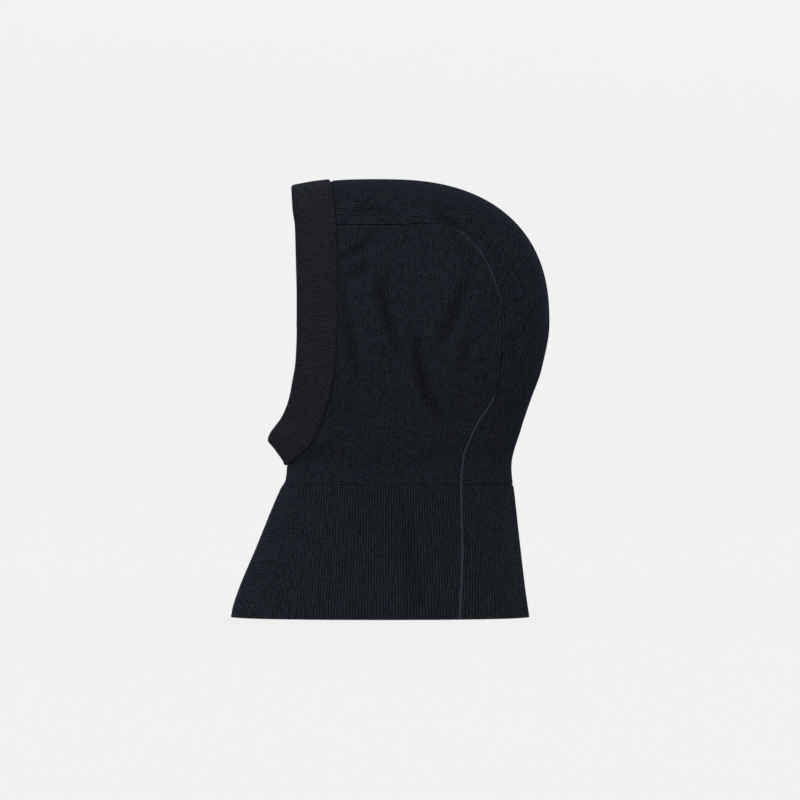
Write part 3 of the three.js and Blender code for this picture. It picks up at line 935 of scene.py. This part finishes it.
# ---- seams
SEAM_WIDTH = 5
SEAM_THICK = 1.2
SEAM_MIDDLE = -KNIT - 0.9 - SEAM_THICK / 2  # its height over the form
STRIP_REACH = 0.46 * SEAM_WIDTH  # half the width of the strip inside the thread
STRIP_RISE = 0.4 * SEAM_THICK  # half its thickness
STRIP_SIDES = 12
STRIP_BLUNTNESS = 0.5  # power of the cosine that makes its section broad and flat
THREAD = 0.22  # radius
STITCH = 2.2  # spacing of the overlocking thread's loops


def tube_faces(stations, around, start=0):
    """Faces of a tube of rings, closed by a fan at each end round the two last points."""
    wall = wall_faces(stations, around, closed=False)
    ring = np.arange(around)
    turned = (ring + 1) % around
    middle = stations * around
    last = (stations - 1) * around
    first_cap = np.stack([turned, ring, np.full(around, middle)], -1)
    last_cap = np.stack([last + ring, last + turned, np.full(around, middle + 1)], -1)
    return [face for part in (wall, first_cap, last_cap) for face in (part + start).tolist()]


def thread(line, radius, around=5):
    """Rings of a thin thread along a line of points."""
    ahead = np.gradient(line, axis=0)
    ahead /= np.linalg.norm(ahead, axis=1, keepdims=True)
    side = np.cross(ahead, (0.31, 0.52, 0.79))
    side /= np.linalg.norm(side, axis=1, keepdims=True)
    other = np.cross(ahead, side)
    turns = angles_round(around)
    circle = np.cos(turns)[:, None] * side[:, None, :] + np.sin(turns)[:, None] * other[:, None, :]
    return line[:, None, :] + radius * circle


def seam_piece(node, tubes):
    """One piece from several tubes of rings."""
    points, faces, start = [], [], 0
    for rings in tubes:
        stations, around = rings.shape[:2]
        faces += tube_faces(stations, around, start)
        points += [rings.reshape(-1, 3), rings[:1].mean(1), rings[-1:].mean(1)]
        start += stations * around + 2
    points = np.concatenate(points)
    stitch = np.stack([points[:, 0] + points[:, 1], points[:, 2]], -1)
    return mesh_piece(node, "yarn", points, faces, stitch, np.ones(len(points)), SEAM_YARN_PAINTED_LIGHT)


def overlocked(place, length):
    """The seam inside the knit: a soft flat strip in a zigzag of thread. v is a share of its length."""
    ring_spacing, points_per_loop = 2, 10
    v = np.linspace(0, 1, max(int(length / ring_spacing), 8))[:, None]
    turns = angles_round(STRIP_SIDES)
    offset = STRIP_REACH * blunt_cosine(turns, STRIP_BLUNTNESS)
    raised = SEAM_MIDDLE + STRIP_RISE * np.sin(turns)
    strip = place(v, offset, raised)
    loops = max(int(length / STITCH), 4)
    t = np.linspace(0, 1, loops * points_per_loop + 1)
    phase = TURN * t * loops
    zigzag = 0.5 * SEAM_WIDTH * np.cos(phase)
    lifted = SEAM_MIDDLE + 0.6 * SEAM_THICK * np.sin(phase)
    return [strip, thread(place(t, zigzag, lifted), THREAD)]


def linked(place, length, height):
    """The line of plump linking stitches on the outside. height(v) is where its middle lies."""
    ring_spacing, stitch_length, sides = 0.35, 2.4, 8
    v = np.linspace(0, 1, int(length / ring_spacing))
    stitches = v * length / stitch_length
    radius = 0.75 + 0.25 * np.abs(np.sin(math.pi * stitches)) ** 0.5
    sway = 0.12 * np.sin(math.pi * stitches)
    turns = angles_round(sides)
    offset = sway[:, None] + radius[:, None] * np.cos(turns)
    raised = height(v)[:, None] + radius[:, None] * np.sin(turns)
    return place(v[:, None], offset, raised)


def panel_place(start, end):
    """Places a seam along the panel seam between two of its stations."""
    def place(v, offset, raised):
        return on_form(*beside_seam(mix(start, end, v), -offset / SEAM_REACH), raised)

    return place


# Height of the linking line over the form, by station.
ridge_line = smooth([(0.3, -2.4), (3.2, -2.2), (4.3, -1.0), (5.2, -0.84), (7.2, -0.84), (8.6, -1.4),
                     (11.8, -1.6), (12.5, 0.1), (13, 0.3), (16.5, 0.3), (17.5, -0.25), (19, -0.25)])


def panel_seams():
    start, strip_end, ridge_end = 0.3, HEM - 0.03, HEM - 0.008
    strip_place = panel_place(start, strip_end)
    length = lengths_along(strip_place(np.linspace(0, 1, 400), 0, 0), 0)[-1]
    tubes = overlocked(strip_place, length)
    ridge_place = panel_place(start, ridge_end)
    tubes.append(linked(ridge_place, length, lambda v: ridge_line(mix(start, ridge_end, v))))
    return seam_piece("left_panel_seam", tubes), seam_piece("right_panel_seam", map(mirror, tubes))


def level_place(start, end):
    """Places a seam along the neck line between two section angles, which may run on past the back."""
    def place(v, offset, raised):
        angle = mix(start, end, v)
        z = NECK_LINE + offset
        past = angle > math.pi / 2
        points = on_form(depth_at(np.where(past, math.pi - angle, angle), z), z, raised)
        points[..., 0] *= np.where(past, -1, 1)
        return points

    return place


def neck_seams():
    clearance = 0.075  # the angle that they keep from the seams that cross them
    side_length, back_length = 140, 115
    panel_angle = float(angle_of(PANEL_SEAM[PANEL_NECK][0], NECK_LINE))
    side_place = level_place(panel_angle - clearance, -math.pi / 2 + clearance)
    back_place = level_place(math.pi - panel_angle - clearance, panel_angle + clearance)
    side = overlocked(side_place, side_length)
    back = overlocked(back_place, back_length)
    return (seam_piece("left_neck_seam", side),
            seam_piece("right_neck_seam", map(mirror, side)),
            seam_piece("back_neck_seam", back))


def on_centre_plane(y, z, offset, raised):
    """Points beside the centre plane and over a point of its outline."""
    normal = normal_at(np.zeros_like(y), y, z)
    return np.stack(np.broadcast_arrays(-offset, y, z), -1) + normal * raised[..., None]


def front_place(top, bottom):
    """Places a seam down the centre of the front between two heights."""
    def place(v, offset, raised):
        z = mix(top, bottom, v)
        return on_centre_plane(front_line(z), z, offset, raised)

    return place


def front_seam():
    strip_top, strip_foot = NECK_LINE + 8, 1.5
    ridge_top, ridge_foot = BAND_SEAM[-1][1] - 0.5, 0.5
    tubes = overlocked(front_place(strip_top, strip_foot), strip_top - strip_foot)
    ridge_place = front_place(ridge_top, ridge_foot)
    tubes.append(linked(ridge_place, ridge_top - ridge_foot, lambda v: np.full_like(v, -0.45)))
    return seam_piece("front_seam", tubes)


def band_joining_seam():
    """A closed ring of overlocking behind the band, inside the hood."""
    rings, rows_round = 260, 6
    station, on_left, along = face_stations(rings)
    turns = angles_round(STRIP_SIDES)
    beside_band = 1.04 + SEAM_WIDTH / 2 / BAND_WIDTH
    across = beside_band + STRIP_REACH / BAND_WIDTH * blunt_cosine(turns, STRIP_BLUNTNESS)
    wrapped = 0.18 * np.cos(TURN * (along / STITCH + turns / TURN))
    raised = SEAM_MIDDLE - (STRIP_RISE + wrapped) * np.sin(turns)
    points = placer(band_point(station, across), on_left)(raised)
    stitch = np.stack(np.broadcast_arrays(turns / TURN * rows_round, along / COURSE), -1)
    return knit_ring("band_joining_seam", "yarn", points, stitch, np.ones(points.shape[:2]), SEAM_YARN_PAINTED_LIGHT)


def band_closing_seam():
    """The seam at the chin that closes the band into a ring, inside it."""
    from_fold, from_seam, length = 0.12, 0.95, 26
    deeper = KNIT + SLOT_GAP + 0.2  # than in a single layer of knit

    def place(v, offset, raised):
        y, z = band_point(CHIN, mix(from_fold, from_seam, v))
        return on_centre_plane(y, z, offset, raised - deeper)

    return seam_piece("band_closing_seam", overlocked(place, length))


# ---- studio
LENS = 310
SENSOR = 36
FRAME_WIDTH = 640 * UNIT  # what the picture takes in at the object's centre plane
AIM_Y = 7.6 * UNIT
AIM_Z = 173.4 * UNIT
SKY_STRENGTH = 0.35
KEY_FOCUS = 14.0
# The way to each key light, and its strength.
KEYS = [
    ((0.88, -0.04, 0.47), 10.7),
    ((-0.78, 0.45, 0.43), 9.4),
    ((-0.22, -0.88, 0.42), 5.6),
]


def make_camera():
    """A long lens, level with the middle of the object on its left."""
    data = bpy.data.cameras.new("camera")
    data.lens = LENS
    data.sensor_width = SENSOR
    data.clip_end = 50
    camera = add_object("camera", data)
    camera.location = (LENS / SENSOR * FRAME_WIDTH, AIM_Y, AIM_Z)
    camera.rotation_euler = Vector((1, 0, 0)).to_track_quat("Z", "Y").to_euler()
    bpy.context.scene.camera = camera


def make_stage():
    """A round pale floor that sweeps up at its edge, far outside the object on every side."""
    edge, sweep, height, around, bends = 9.0, 4.8, 1.3, 96, 16
    bend = np.linspace(0, math.pi / 2, bends)
    profile = [(edge - sweep + sweep * math.sin(a), height - height * math.cos(a)) for a in bend]
    verts = [(r * math.cos(a), r * math.sin(a), z) for r, z in profile for a in angles_round(around)]
    verts.append((0, 0, 0))
    middle = len(verts) - 1
    faces = []
    for i in range(around):
        j = (i + 1) % around
        faces.append((middle, i, j))
        for low in range(0, middle - around, around):
            high = low + around
            faces.append((low + i, high + i, high + j, low + j))
    add_mesh("studio_floor", verts, faces, studio_paper())


def make_light():
    """A pale sky all round with three broad soft keys, the strongest one on the camera's side."""
    world = bpy.data.worlds.new("studio")
    world.use_nodes = True
    sky = Nodes(world.node_tree)
    background = world.node_tree.nodes["Background"].inputs
    sight = sky.node("ShaderNodeTexCoord").outputs["Generated"]
    strength = SKY_STRENGTH
    for towards, key_strength in KEYS:
        facing = sky.vector_math("DOT_PRODUCT", sight, Vector(towards).normalized()).outputs["Value"]
        lobe = sky.math("POWER", sky.math("MAXIMUM", facing, 0.0), KEY_FOCUS)
        strength = sky.math("MULTIPLY_ADD", lobe, key_strength, strength)
    sky.fill(background, {"Color": (1, 1, 1, 1), "Strength": strength})
    bpy.context.scene.world = world


make_camera()
make_stage()
make_light()
bpy.context.scene.view_settings.view_transform = "Standard"

left_side, right_side, panel_area = side_panels()
crown, crown_area, crown_length = crown_panel()
left_neck, right_neck, neck_area = neck_sheets()
back_neck, back_area = back_neck_sheet()
band, band_length = face_band()
left_panel_seam, right_panel_seam = panel_seams()
left_neck_seam, right_neck_seam, back_neck_seam = neck_seams()
centre_seam = front_seam()
joining_seam = band_joining_seam()
closing_seam = band_closing_seam()
